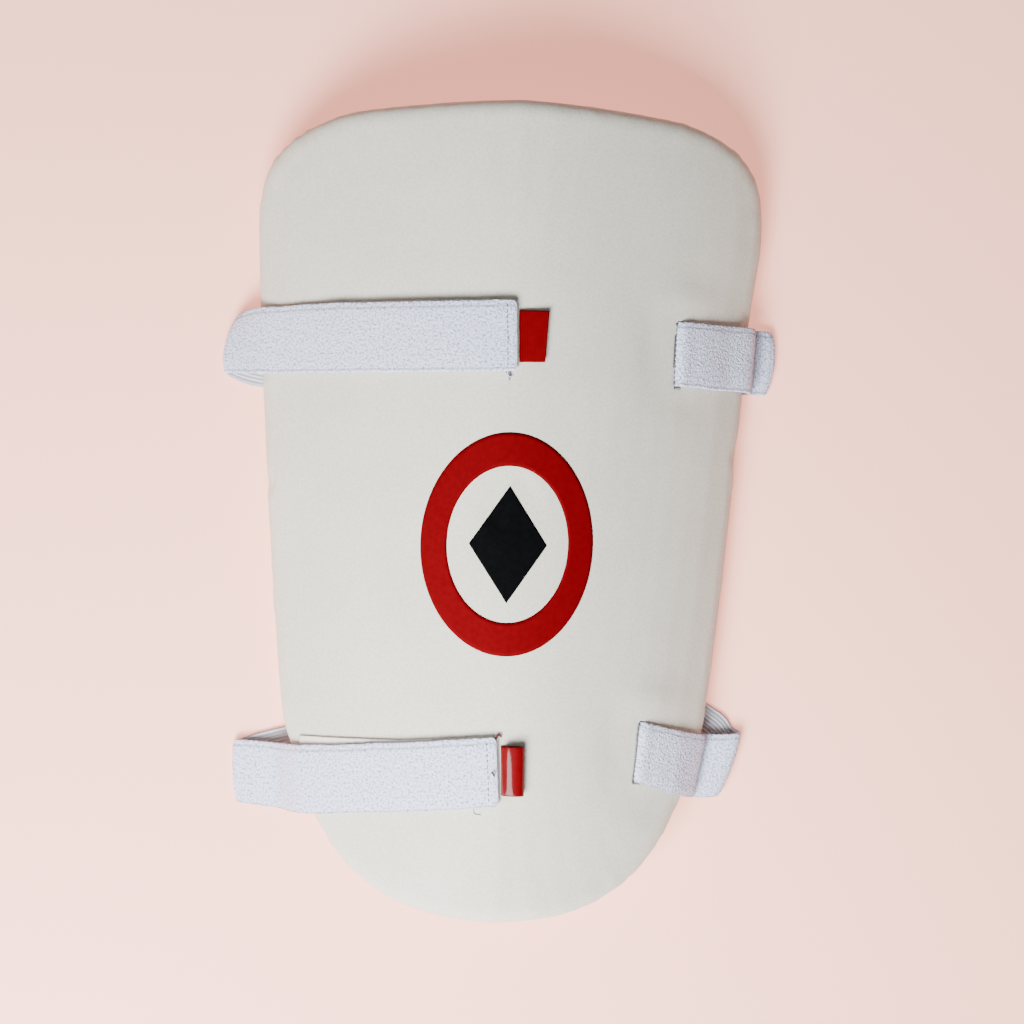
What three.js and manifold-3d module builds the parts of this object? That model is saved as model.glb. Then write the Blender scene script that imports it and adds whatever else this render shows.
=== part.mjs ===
// A cricket thigh guard lying hollow side down on its own straps, in millimetres.
// +Y runs up the thigh to the wide end, +X is across it and +Z is up from the floor.
// The pad is one moulded foam shell with a fabric facing, and two elastic straps go round it.

import * as THREE from "three";
import Module from "manifold-3d";

const wasm = await Module();
wasm.setup();

// Foam pad
const PAD_THICKNESS = 15;
const EDGE_HEIGHT = 6.5;
const ARCH_DEPTH = 54;
const ARCH_HALF_ANGLE = THREE.MathUtils.degToRad(60);
const LENGTHWISE_BOW = 4;
const RIDGE_SHARE = 0.35;
const RIDGE_HALF_WIDTH = 18;
const WIDE_HALF_WIDTH = 117.9;
const WIDE_AT_Y = 136.6;
const NARROW_HALF_WIDTH = 98.5;
const NARROW_AT_Y = -102.6;
const PAD_LENGTH = 380.8;
const PAD_HALF_LENGTH = PAD_LENGTH / 2;
const MIDDLE_Y = -1.2;
const TOP_Y = MIDDLE_Y + PAD_HALF_LENGTH;
const TIP_Y = MIDDLE_Y - PAD_HALF_LENGTH;
const SHOULDER_X = 79;
const SHOULDER_DROP = 5.9;

// Half of the pad's outline seen from above, with the reach of each smooth turn before and after it.
const OUTLINE = [
  { at: "top centre", x: 0, y: TOP_Y, heading: 0, before: 0, after: 5.2 },
  { at: "shoulder", x: SHOULDER_X, y: TOP_Y - SHOULDER_DROP, heading: -17.5, before: 9, after: 25.5 },
  { at: "widest", x: WIDE_HALF_WIDTH, y: WIDE_AT_Y, heading: -90, before: 31.5, after: 36.6 },
  { at: "lower flank", x: NARROW_HALF_WIDTH, y: NARROW_AT_Y, heading: -105.4, before: 20, after: 54.5 },
  { at: "tip", x: 0, y: TIP_Y, heading: -180, before: 67.8, after: 0 },
];
const OUTLINE_STEPS = 72;
const SHEET_ROWS = 9;
const EDGE_BAND = 18;
const EDGE_ROLL_STEPS = 6;

// Elastic straps
const STRAP_THICKNESS = 2.1;
const GAP = 0.3;
const FLOOR_LAYER = STRAP_THICKNESS / 2;
const STRAP_STEPS = 84;
const STRAP_CELLS_ACROSS = 4;
const UNDER_STEPS = 6;
const SLIT_STEPS = 10;
const SLIT_CLEARANCE = 0.6;
const LONGEST_CELL = 9;

// The tables of the straps, tapes and tabs hold for a pad of these half widths. On a wider or a
// narrower pad their x values are spread with it.
const TABLE_WIDE_HALF_WIDTH = 117.9;
const TABLE_NARROW_HALF_WIDTH = 98.5;

// Hook tape under the strap ends, and the pull tabs
const TAPE_THICKNESS = 1.2;
const TAB_THICKNESS = 0.9;
const LOOP_TAB_THICKNESS = 0.7;
const TAPE_STEPS = 16;
const TAB_STEPS = 6;
const LOOP_TAB_STEPS = 22;

// Printed design
const FILM_THICKNESS = 0.4;
const EMBLEM_CENTRE_Y = -15;
const RING_HALF_WIDTH = 40;
const RING_HALF_LENGTH = 51.5;
const RING_INNER_SHARE = 0.7;
const RING_STEPS = 56;
const LOZENGE_HALF_WIDTH = 18;
const LOZENGE_HALF_LENGTH = 27;
const LOZENGE_SIDE_STEPS = 5;
const FILM_ROWS = 4;

const FRONT = PAD_THICKNESS / 2;
const ON_PAD = GAP + STRAP_THICKNESS / 2;
const TAPE_LIFT = GAP + TAPE_THICKNESS / 2;
const OVER_TAPE = TAPE_THICKNESS + GAP + ON_PAD;
const TAB_LIFT = GAP + TAB_THICKNESS / 2;

// How far the arch falls from the crown to a share of the half width, from 0 to 1.
function archFall(share) {
  const ridge = RIDGE_HALF_WIDTH / WIDE_HALF_WIDTH;
  const soft = (Math.hypot(share, ridge) - ridge) / (Math.hypot(1, ridge) - ridge);
  const sine = Math.min(share * Math.sin(ARCH_HALF_ANGLE), 1);
  const round = (1 - Math.sqrt(1 - sine * sine)) / (1 - Math.cos(ARCH_HALF_ANGLE));
  return RIDGE_SHARE * soft + (1 - RIDGE_SHARE) * round;
}

function halfWidthAt(y, wide, narrow) {
  return narrow + ((wide - narrow) / (WIDE_AT_Y - NARROW_AT_Y)) * (y - NARROW_AT_Y);
}

// How much wider the pad is here than the one that the tables were measured on.
function spreadAt(y) {
  const measured = halfWidthAt(y, TABLE_WIDE_HALF_WIDTH, TABLE_NARROW_HALF_WIDTH);
  return halfWidthAt(y, WIDE_HALF_WIDTH, NARROW_HALF_WIDTH) / measured;
}

// The height of the foam's middle surface: an arch that narrows and flattens towards the knee.
function middleHeight(x, y) {
  const halfWidth = halfWidthAt(y, WIDE_HALF_WIDTH, NARROW_HALF_WIDTH);
  const bow = LENGTHWISE_BOW * (1 - (y / PAD_HALF_LENGTH) ** 2);
  const rise = (ARCH_DEPTH * halfWidth) / WIDE_HALF_WIDTH + bow;
  return EDGE_HEIGHT + rise * (1 - archFall(Math.abs(x) / halfWidth));
}

function surfaceNormal(x, y) {
  const step = 0.5;
  const slopeX = (middleHeight(x + step, y) - middleHeight(x - step, y)) / (2 * step);
  const slopeY = (middleHeight(x, y + step) - middleHeight(x, y - step)) / (2 * step);
  return new THREE.Vector3(-slopeX, -slopeY, 1).normalize();
}

// A point at a height square to the middle surface, measured from its foot on that surface.
function offMiddle(x, y, height) {
  return new THREE.Vector3(x, y, middleHeight(x, y)).addScaledVector(surfaceNormal(x, y), height);
}

// The point straight above (x, y) that is lifted off the front face by the given distance.
function onPad(x, y, lift) {
  const foot = new THREE.Vector2(x, y);
  let point = offMiddle(x, y, FRONT + lift);
  for (let pass = 0; pass < 12; pass++) {
    foot.x += (x - point.x) * 0.8;
    foot.y += (y - point.y) * 0.8;
    point = offMiddle(foot.x, foot.y, FRONT + lift);
  }
  return point;
}

function outlinePath() {
  const path = new THREE.Path();
  const reach = (row, distance, side) => {
    const angle = THREE.MathUtils.degToRad(row.heading);
    return [side * (row.x + distance * Math.cos(angle)), row.y + distance * Math.sin(angle)];
  };
  path.moveTo(OUTLINE[0].x, OUTLINE[0].y);
  for (let k = 1; k < OUTLINE.length; k++) {
    const [from, to] = [OUTLINE[k - 1], OUTLINE[k]];
    path.bezierCurveTo(...reach(from, from.after, 1), ...reach(to, -to.before, 1), to.x, to.y);
  }
  for (let k = OUTLINE.length - 1; k > 0; k--) {
    const [from, to] = [OUTLINE[k], OUTLINE[k - 1]];
    path.bezierCurveTo(...reach(from, -from.before, -1), ...reach(to, to.after, -1), -to.x, to.y);
  }
  return path;
}

// A lathed disc whose rings are then carried onto an outline and its heights onto the pad's curve.
function mappedDisc(profile, steps, place) {
  const geometry = new THREE.LatheGeometry(profile, steps);
  const position = geometry.attributes.position;
  for (let k = 0; k < position.count; k++) {
    const spoke = Math.floor(k / profile.length) % steps;
    const row = profile[k % profile.length];
    const point = place(spoke, row.x, row.y);
    position.setXYZ(k, point.x, point.y, point.z);
  }
  return geometry;
}

function padGeometry() {
  const rim = outlinePath().getSpacedPoints(OUTLINE_STEPS);
  const inward = rim.map((point, k) => {
    const before = rim[(k + OUTLINE_STEPS - 1) % OUTLINE_STEPS];
    const after = rim[(k + 1) % OUTLINE_STEPS];
    const along = after.clone().sub(before).normalize();
    return new THREE.Vector2(along.y, -along.x);
  });
  const sheetEdge = 1;
  const profile = [];
  for (let k = 0; k <= SHEET_ROWS; k++) {
    profile.push(new THREE.Vector2((sheetEdge * k) / SHEET_ROWS, FRONT));
  }
  for (let k = 0; k <= EDGE_ROLL_STEPS; k++) {
    const turn = Math.PI / 2 - (Math.PI * k) / EDGE_ROLL_STEPS;
    const inset = FRONT * (1 - Math.cos(turn));
    profile.push(new THREE.Vector2(sheetEdge + EDGE_BAND - inset, FRONT * Math.sin(turn)));
  }
  for (let k = SHEET_ROWS; k >= 0; k--) {
    profile.push(new THREE.Vector2((sheetEdge * k) / SHEET_ROWS, -FRONT));
  }
  return mappedDisc(profile, OUTLINE_STEPS, (spoke, radius, height) => {
    const inset = Math.min(sheetEdge + EDGE_BAND - radius, EDGE_BAND);
    const share = Math.min(radius / sheetEdge, 1);
    const plan = rim[spoke].clone().addScaledVector(inward[spoke], inset).multiplyScalar(share);
    return offMiddle(plan.x, plan.y, height);
  });
}

// Rows added between two that both lie on the pad, so that the band keeps to the pad's curve.
function refined(rows) {
  const dense = [rows[0]];
  for (let k = 1; k < rows.length; k++) {
    const [from, to] = [rows[k - 1], rows[k]];
    const onFace = from.z === undefined && to.z === undefined;
    const cells = onFace ? Math.ceil(Math.abs(to.topX - from.topX) / LONGEST_CELL) : 1;
    for (let cell = 1; cell < cells; cell++) {
      const row = {};
      for (const key of ["topX", "topY", "lowX", "lowY", "lift"]) {
        row[key] = THREE.MathUtils.lerp(from[key], to[key], cell / cells);
      }
      dense.push(row);
    }
    dense.push(to);
  }
  return dense;
}

// Lines along a band whose two long edges follow the rows, on the pad or at a height of their own.
function stationLines(rows) {
  const lines = [];
  for (let cell = 0; cell <= STRAP_CELLS_ACROSS; cell++) {
    const share = cell / STRAP_CELLS_ACROSS;
    const points = refined(rows).map((row) => {
      const bulge = 4 * share * (1 - share) * (row.bulge ?? 0);
      const y = THREE.MathUtils.lerp(row.topY, row.lowY, share);
      const x = THREE.MathUtils.lerp(row.topX, row.lowX, share) * spreadAt(y) + bulge;
      return row.z === undefined ? onPad(x, y, row.lift) : new THREE.Vector3(x, y, row.z);
    });
    lines.push(new THREE.CatmullRomCurve3(points, false, "centripetal"));
  }
  return lines;
}

function bandGeometry(rows, thickness, steps, widen = 0) {
  const lines = stationLines(rows);
  const cells = STRAP_CELLS_ACROSS;
  const at = (along, cell) => {
    const point = lines[cell].getPoint(THREE.MathUtils.clamp(along, 0, 1));
    point.z = Math.max(point.z, thickness / 2);
    return point;
  };
  const geometry = new THREE.BoxGeometry(1, 1, 1, steps, cells, 1);
  const position = geometry.attributes.position;
  const nudge = 0.25 / steps;
  for (let k = 0; k < position.count; k++) {
    const along = position.getX(k) + 0.5;
    const cell = Math.round((0.5 - position.getY(k)) * cells);
    const side = Math.sign(position.getZ(k));
    const ahead = at(along + nudge, cell).sub(at(along - nudge, cell));
    const across = at(along, cells).sub(at(along, 0)).normalize();
    const outward = new THREE.Vector3().crossVectors(across, ahead).normalize();
    const spread = widen * Math.sign(cell - cells / 2) * (cell % cells === 0 ? 1 : 0);
    const point = at(along, cell).addScaledVector(outward, (side * thickness) / 2);
    point.addScaledVector(across, spread);
    position.setXYZ(k, point.x, point.y, Math.max(point.z, 0));
  }
  return geometry;
}

// The hidden stretch of a strap: flat on the floor under the pad from one fold to the other.
function underRows(left, right) {
  const reach = (right.x - left.x) / 3;
  const heading = (angle) => [Math.cos(angle) * reach, Math.sin(angle) * reach];
  const [leftX, leftY] = heading(THREE.MathUtils.degToRad(left.heading));
  const [rightX, rightY] = heading(THREE.MathUtils.degToRad(right.heading));
  const way = new THREE.CubicBezierCurve(
    new THREE.Vector2(left.x, left.y),
    new THREE.Vector2(left.x + leftX, left.y + leftY),
    new THREE.Vector2(right.x - rightX, right.y - rightY),
    new THREE.Vector2(right.x, right.y),
  );
  const rows = [];
  for (let k = 0; k <= UNDER_STEPS; k++) {
    const centre = way.getPoint(k / UNDER_STEPS);
    const along = way.getTangent(k / UNDER_STEPS);
    const half = THREE.MathUtils.lerp(left.width, right.width, k / UNDER_STEPS) / 2;
    rows.push({
      topX: centre.x - along.y * half,
      topY: centre.y + along.x * half,
      lowX: centre.x + along.y * half,
      lowY: centre.y - along.x * half,
      z: FLOOR_LAYER,
    });
  }
  return rows;
}

// From the loose end over the left flank to the left fold.
const UPPER_LEFT = [
  { at: "loose end", topX: 0.2, topY: 96.8, lowX: 1.4, lowY: 64.4, lift: OVER_TAPE },
  { at: "crown", topX: -24, topY: 96, lowX: -23.4, lowY: 63.6, lift: OVER_TAPE },
  { at: "high flank", topX: -50, topY: 95.2, lowX: -50, lowY: 62.8, lift: OVER_TAPE },
  { at: "past the tape", topX: -78, topY: 94.7, lowX: -78, lowY: 62.3, lift: OVER_TAPE },
  { at: "flank", topX: -96, topY: 94.3, lowX: -96, lowY: 62.2, lift: ON_PAD + 0.4 },
  { at: "low flank", topX: -109, topY: 93.9, lowX: -109, lowY: 62.2, lift: ON_PAD + 0.2 },
  { at: "pad edge", topX: -118.3, topY: 93.4, lowX: -118.5, lowY: 62.3, z: 17.6 },
  { at: "slack", topX: -125.4, topY: 92, lowX: -127.6, lowY: 62.4, z: 9.6, bulge: -0.8 },
  { at: "over the fold", topX: -128.6, topY: 90.4, lowX: -133, lowY: 62.5, z: 5.2, bulge: -2.2 },
  { at: "fold", topX: -128.6, topY: 89.6, lowX: -134, lowY: 62, z: 3, bulge: -2.8 },
  { at: "tuck", topX: -126.4, topY: 89.2, lowX: -131, lowY: 60.4, z: 1.3, bulge: -2 },
];
const UPPER_UNDER_LEFT = { x: -119, y: 72.6, heading: -10.8, width: 31 };
const UPPER_UNDER_RIGHT = { x: 118, y: 76.4, heading: 1, width: 31 };
// From the right fold over the right flank into the slit.
const UPPER_RIGHT = [
  { at: "tuck", topX: 127.8, topY: 91.8, lowX: 126, lowY: 61, z: 1.2, bulge: 1.6 },
  { at: "fold", topX: 130.6, topY: 91.6, lowX: 128.2, lowY: 61, z: 2.7, bulge: 2.4 },
  { at: "over the fold", topX: 128.6, topY: 91.9, lowX: 126.6, lowY: 60.7, z: 4.3, bulge: 1.8 },
  { at: "flap", topX: 125.2, topY: 92.2, lowX: 123.8, lowY: 60.7, z: 4.6 },
  { at: "crease", topX: 121.6, topY: 92.3, lowX: 120.4, lowY: 60.9, z: 6 },
  { at: "pad edge", topX: 120.6, topY: 92.3, lowX: 119, lowY: 61, z: 11.6 },
  { at: "edge roll", topX: 118.6, topY: 92.3, lowX: 117.2, lowY: 61.1, z: 17.8 },
  { at: "low flank", topX: 106, topY: 92.3, lowX: 106, lowY: 61.2, lift: ON_PAD + 0.2 },
  { at: "flank", topX: 93, topY: 92.2, lowX: 93, lowY: 61.4, lift: ON_PAD + 0.3 },
  { at: "slit", topX: 81.5, topY: 91.9, lowX: 81.3, lowY: 61.7, lift: 0.9 },
  { at: "in the slit", topX: 75, topY: 91.8, lowX: 75, lowY: 61.8, lift: -3.4 },
  { at: "root", topX: 68, topY: 91.8, lowX: 68, lowY: 61.8, lift: -6.4 },
];

const LOWER_LEFT = [
  { at: "loose end", topX: -2.5, topY: -103.5, lowX: -0.3, lowY: -135.6, lift: OVER_TAPE },
  { at: "crown", topX: -24, topY: -105.8, lowX: -22, lowY: -138, lift: OVER_TAPE },
  { at: "high flank", topX: -46.3, topY: -108.2, lowX: -43.5, lowY: -140.4, lift: OVER_TAPE },
  { at: "flank", topX: -68, topY: -110.6, lowX: -65, lowY: -142.6, lift: OVER_TAPE },
  { at: "low flank", topX: -84, topY: -112.5, lowX: -81.5, lowY: -144.7, lift: OVER_TAPE },
  { at: "pad edge", topX: -94, topY: -113.5, lowX: -91, lowY: -145.6, lift: OVER_TAPE + 0.3 },
  { at: "off the pad", topX: -100.6, topY: -114, lowX: -97.4, lowY: -145.8, z: 15.4 },
  { at: "valley", topX: -105, topY: -114.1, lowX: -102, lowY: -145.7, z: 8.4 },
  { at: "flap", topX: -112.6, topY: -113.8, lowX: -109.6, lowY: -145, z: 5.6 },
  { at: "over the fold", topX: -122, topY: -113.6, lowX: -119.8, lowY: -143.9, z: 4.7, bulge: -0.6 },
  { at: "fold", topX: -124.2, topY: -113.7, lowX: -122, lowY: -143.4, z: 2.9, bulge: -1 },
  { at: "tuck", topX: -121.6, topY: -113.3, lowX: -119.6, lowY: -142.8, z: 1.3, bulge: -0.6 },
];
const LOWER_UNDER_LEFT = { x: -110, y: -125.2, heading: 14, width: 30.5 };
const LOWER_UNDER_RIGHT = { x: 103, y: -107.6, heading: -38, width: 31 };
const LOWER_RIGHT = [
  { at: "tuck", topX: 118.6, topY: -102.6, lowX: 104.8, lowY: -131.6, z: 1.2 },
  { at: "fold", topX: 121.2, topY: -103.6, lowX: 111.2, lowY: -134.4, z: 3.6, bulge: 1.2 },
  { at: "over the fold", topX: 119.4, topY: -104.4, lowX: 109.4, lowY: -135.4, z: 6.8, bulge: 1 },
  { at: "flap", topX: 112.6, topY: -104.9, lowX: 104.4, lowY: -135.8, z: 7.8 },
  { at: "crease", topX: 103.9, topY: -105, lowX: 98.2, lowY: -135.8, z: 8.2 },
  { at: "pad edge", topX: 101.4, topY: -104.6, lowX: 95.6, lowY: -135.2, z: 15.6 },
  { at: "low flank", topX: 89, topY: -102.1, lowX: 85, lowY: -132, lift: ON_PAD + 0.6 },
  { at: "flank", topX: 79.6, topY: -99.8, lowX: 76.6, lowY: -128.8, lift: ON_PAD + 0.3 },
  { at: "slit", topX: 69.6, topY: -97.4, lowX: 67.4, lowY: -126, lift: 0.9 },
  { at: "in the slit", topX: 63.6, topY: -96.4, lowX: 61.4, lowY: -125, lift: -3.4 },
  { at: "root", topX: 57, topY: -95.4, lowX: 55, lowY: -124, lift: -6.4 },
];

const UPPER_TAPE = [
  { at: "end", topX: 0.6, topY: 97.4, lowX: 1.6, lowY: 66, lift: TAPE_LIFT },
  { at: "middle", topX: -38, topY: 96.4, lowX: -38, lowY: 64.6, lift: TAPE_LIFT },
  { at: "far end", topX: -76, topY: 95.2, lowX: -76, lowY: 63.8, lift: TAPE_LIFT },
];
const LOWER_TAPE = [
  { at: "end", topX: -1.6, topY: -103, lowX: 0.2, lowY: -134, lift: TAPE_LIFT },
  { at: "middle", topX: -46, topY: -107.3, lowX: -44, lowY: -138, lift: TAPE_LIFT },
  { at: "far end", topX: -93, topY: -109, lowX: -88, lowY: -140, lift: TAPE_LIFT },
];
const UPPER_TAB = [
  { at: "seam", topX: 1.4, topY: 92.4, lowX: 2.2, lowY: 68.6, lift: TAB_LIFT },
  { at: "middle", topX: 8.2, topY: 92.5, lowX: 8.2, lowY: 68.8, lift: TAB_LIFT + 0.5 },
  { at: "tip", topX: 15.3, topY: 92.5, lowX: 14.1, lowY: 69, lift: TAB_LIFT + 1.4 },
];
const LOWER_TAB = [
  { at: "seam", topX: -0.2, topY: -107.8, lowX: 0.8, lowY: -130.7, lift: 0.65 },
  { at: "on the pad", topX: 5.4, topY: -107.8, lowX: 6, lowY: -130.7, lift: 0.65 },
  { at: "turn", topX: 9.4, topY: -107.8, lowX: 9.8, lowY: -130.7, lift: 1.7 },
  { at: "outermost", topX: 10.4, topY: -107.8, lowX: 10.8, lowY: -130.7, lift: 3.5 },
  { at: "over the turn", topX: 8.8, topY: -107.8, lowX: 9.2, lowY: -130.7, lift: 5.2 },
  { at: "crest", topX: 5.2, topY: -107.8, lowX: 5.6, lowY: -130.7, lift: 5.6 },
  { at: "back at the seam", topX: 0.4, topY: -107.8, lowX: 1.2, lowY: -130.7, lift: 4.6 },
];

function strapRows(left, underLeft, underRight, right) {
  return [...left, ...underRows(underLeft, underRight), ...right];
}

function solidOf(geometry) {
  const flat = geometry.index ? geometry.toNonIndexed() : geometry;
  const source = flat.attributes.position;
  const corners = new Map();
  const vertices = [];
  const corner = (k) => {
    const values = [source.getX(k), source.getY(k), source.getZ(k)];
    const key = values.map((value) => Math.round(value * 1e4)).join(" ");
    if (!corners.has(key)) {
      corners.set(key, vertices.length / 3);
      vertices.push(...values);
    }
    return corners.get(key);
  };
  const triangles = [];
  for (let k = 0; k < source.count; k += 3) {
    const [a, b, c] = [corner(k), corner(k + 1), corner(k + 2)];
    if (a !== b && b !== c && c !== a) triangles.push(a, b, c);
  }
  return new wasm.Manifold(
    new wasm.Mesh({
      numProp: 3,
      vertProperties: new Float32Array(vertices),
      triVerts: new Uint32Array(triangles),
    }),
  );
}

function geometryOf(solid) {
  const mesh = solid.getMesh();
  const geometry = new THREE.BufferGeometry();
  geometry.setAttribute("position", new THREE.BufferAttribute(mesh.vertProperties, 3));
  geometry.setIndex(new THREE.BufferAttribute(mesh.triVerts, 1));
  geometry.computeVertexNormals();
  return geometry;
}

// The pocket cut for a strap root: the last stations of the strap, thicker and wider by the gap.
function slitGeometry(right) {
  const rows = right.slice(-3).map((row) => ({ ...row }));
  const [mouth, inside, root] = rows;
  const out = { ...mouth };
  for (const edge of ["topX", "topY", "lowX", "lowY", "lift"]) {
    out[edge] = mouth[edge] + (mouth[edge] - inside[edge]);
    root[edge] += (root[edge] - inside[edge]) * 0.1;
  }
  const thickness = STRAP_THICKNESS + 2 * SLIT_CLEARANCE;
  return bandGeometry([out, mouth, inside, root], thickness, SLIT_STEPS, SLIT_CLEARANCE);
}

// The profile of a printed film from its inner share out to its rim and back underneath.
function filmProfile(inner) {
  const low = FRONT + GAP;
  const profile = [];
  for (const height of [low + FILM_THICKNESS, low]) {
    const rows = [];
    for (let k = 0; k <= FILM_ROWS; k++) {
      rows.push(new THREE.Vector2(THREE.MathUtils.lerp(inner, 1, k / FILM_ROWS), height));
    }
    profile.push(...(height === low ? rows.reverse() : rows));
  }
  if (inner > 0) profile.push(profile[0].clone());
  return profile;
}

function ringGeometry() {
  const oval = new THREE.EllipseCurve(0, 0, RING_HALF_WIDTH, RING_HALF_LENGTH);
  const rim = oval.getPoints(RING_STEPS);
  return mappedDisc(filmProfile(RING_INNER_SHARE), RING_STEPS, (spoke, radius, height) => {
    const plan = rim[RING_STEPS - 1 - spoke].clone().multiplyScalar(radius);
    return offMiddle(plan.x, plan.y + EMBLEM_CENTRE_Y, height);
  });
}

function lozengeGeometry() {
  const corners = [
    new THREE.Vector2(0, LOZENGE_HALF_LENGTH),
    new THREE.Vector2(LOZENGE_HALF_WIDTH, 0),
    new THREE.Vector2(0, -LOZENGE_HALF_LENGTH),
    new THREE.Vector2(-LOZENGE_HALF_WIDTH, 0),
  ];
  const steps = LOZENGE_SIDE_STEPS * corners.length;
  return mappedDisc(filmProfile(0), steps, (spoke, radius, height) => {
    const side = Math.floor(spoke / LOZENGE_SIDE_STEPS);
    const share = (spoke % LOZENGE_SIDE_STEPS) / LOZENGE_SIDE_STEPS;
    const plan = corners[side].clone().lerp(corners[(side + 1) % corners.length], share);
    plan.multiplyScalar(radius);
    return offMiddle(plan.x, plan.y + EMBLEM_CENTRE_Y, height);
  });
}

const facing = new THREE.MeshStandardMaterial({ color: 0xd9dad4, roughness: 0.85, metalness: 0 });
const elastic = new THREE.MeshStandardMaterial({ color: 0xd9dce8, roughness: 0.95, metalness: 0 });
const tapeCloth = new THREE.MeshStandardMaterial({ color: 0xe4e3dc, roughness: 0.8, metalness: 0 });
const redCloth = new THREE.MeshStandardMaterial({ color: 0xa80406, roughness: 0.7, metalness: 0 });
const redGloss = new THREE.MeshStandardMaterial({ color: 0xa80406, roughness: 0.25, metalness: 0 });
const redPrint = new THREE.MeshStandardMaterial({ color: 0x980305, roughness: 0.6, metalness: 0 });
const blackPrint = new THREE.MeshStandardMaterial({ color: 0x15171a, roughness: 0.55, metalness: 0 });

const guard = new THREE.Group();
guard.name = "cricket_thigh_guard";

function addPiece(name, geometry, material) {
  const mesh = new THREE.Mesh(geometry, material.clone());
  mesh.name = name;
  guard.add(mesh);
}

const upperStrap = strapRows(UPPER_LEFT, UPPER_UNDER_LEFT, UPPER_UNDER_RIGHT, UPPER_RIGHT);
const lowerStrap = strapRows(LOWER_LEFT, LOWER_UNDER_LEFT, LOWER_UNDER_RIGHT, LOWER_RIGHT);
const shell = solidOf(padGeometry())
  .subtract(solidOf(slitGeometry(UPPER_RIGHT)))
  .subtract(solidOf(slitGeometry(LOWER_RIGHT)));

addPiece("pad_shell", geometryOf(shell), facing);
addPiece("upper_strap", bandGeometry(upperStrap, STRAP_THICKNESS, STRAP_STEPS), elastic);
addPiece("lower_strap", bandGeometry(lowerStrap, STRAP_THICKNESS, STRAP_STEPS), elastic);
addPiece("upper_hook_tape", bandGeometry(UPPER_TAPE, TAPE_THICKNESS, TAPE_STEPS), tapeCloth);
addPiece("lower_hook_tape", bandGeometry(LOWER_TAPE, TAPE_THICKNESS, TAPE_STEPS), tapeCloth);
addPiece("upper_pull_tab", bandGeometry(UPPER_TAB, TAB_THICKNESS, TAB_STEPS), redCloth);
addPiece("lower_pull_tab", bandGeometry(LOWER_TAB, LOOP_TAB_THICKNESS, LOOP_TAB_STEPS), redGloss);
addPiece("emblem_ring", ringGeometry(), redPrint);
addPiece("emblem_lozenge", lozengeGeometry(), blackPrint);

// The part's origin is the middle of its underside.
const extent = new THREE.Box3().setFromObject(guard);
const middle = extent.getCenter(new THREE.Vector3());
guard.position.set(-middle.x, -middle.y, -extent.min.z);

export default guard;
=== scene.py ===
# %% [markdown]
# # A cricket thigh guard
# The real thing is a curved pad of moulded foam under a brushed cream facing. Two woven elastic
# straps are stitched into slits in its right flank, go round behind it and come back over its
# left flank, where hook tape holds their ends. It lies hollow side down on its own straps.
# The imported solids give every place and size, so the first cell loads them and keeps their box.

# %% Load the frame
import math

import bmesh
import bpy
import numpy as np
from mathutils import Matrix, Vector, geometry, noise
from mathutils.bvhtree import BVHTree
from mathutils.kdtree import KDTree


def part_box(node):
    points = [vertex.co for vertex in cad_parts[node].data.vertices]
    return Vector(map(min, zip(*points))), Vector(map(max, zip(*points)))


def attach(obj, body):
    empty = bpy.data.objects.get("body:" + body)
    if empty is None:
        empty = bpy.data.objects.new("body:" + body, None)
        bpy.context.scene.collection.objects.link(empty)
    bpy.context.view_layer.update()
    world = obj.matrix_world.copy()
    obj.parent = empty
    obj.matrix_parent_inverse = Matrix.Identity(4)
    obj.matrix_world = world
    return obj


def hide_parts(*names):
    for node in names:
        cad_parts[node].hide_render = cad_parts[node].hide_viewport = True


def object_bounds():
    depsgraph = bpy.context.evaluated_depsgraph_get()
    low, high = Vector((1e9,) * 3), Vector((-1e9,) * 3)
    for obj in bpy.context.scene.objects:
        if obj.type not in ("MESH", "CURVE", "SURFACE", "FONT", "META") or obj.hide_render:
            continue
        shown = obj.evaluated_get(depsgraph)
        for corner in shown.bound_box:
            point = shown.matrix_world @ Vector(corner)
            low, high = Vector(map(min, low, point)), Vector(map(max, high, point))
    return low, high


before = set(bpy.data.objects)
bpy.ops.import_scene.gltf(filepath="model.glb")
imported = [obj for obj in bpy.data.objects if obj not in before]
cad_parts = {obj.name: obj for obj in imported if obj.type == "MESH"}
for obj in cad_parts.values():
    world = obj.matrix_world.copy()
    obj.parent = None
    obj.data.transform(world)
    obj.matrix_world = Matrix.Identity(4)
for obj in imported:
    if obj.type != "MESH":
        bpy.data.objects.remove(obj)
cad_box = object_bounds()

MM = 0.001
cad_size = [round((high - low) / MM) for low, high in zip(*cad_box)]
print("the solids measure", cad_size, "mm")

# %% [markdown]
# ## Where things are
# The strap routes below are measured from the pad's own middle line and mid-length, in
# millimetres. The pad is symmetrical, so the middle of its box gives that line, and its top
# edge gives the mid-length. Working from the solids keeps the looks where the solids are.

# %% The pad's own origin
PAD_TOP_Y = 189.2
pad_low, pad_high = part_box("pad_shell")
PAD_ORIGIN = Vector(((pad_low.x + pad_high.x) / 2, pad_high.y - PAD_TOP_Y * MM, 0))
print("pad origin in the frame, mm:", [round(value / MM, 2) for value in PAD_ORIGIN])


def in_frame(x, y, z):
    """A place measured from the pad's own origin in millimetres, as a place in the frame."""
    return PAD_ORIGIN + Vector((x, y, z)) * MM


# %% [markdown]
# ## The camera
# The guard was photographed from straight above, a little from its left, and it lies turned a
# little clockwise in the picture. A long lens at about a metre keeps the two flanks nearly
# parallel, as they are there. The three directions of the camera are worked out and written
# as the columns of its matrix, because that says the roll as well as the aim.

# %% Place the camera
CAMERA_DISTANCE = 1100
CAMERA_FROM_LEFT = math.radians(4.3)
CAMERA_ROLL = math.radians(1.8)
CAMERA_TARGET = in_frame(4.0, 0, 30)
LENS = 81.5
SENSOR_WIDTH = 36
NEAREST, FARTHEST = 0.05, 20

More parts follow.
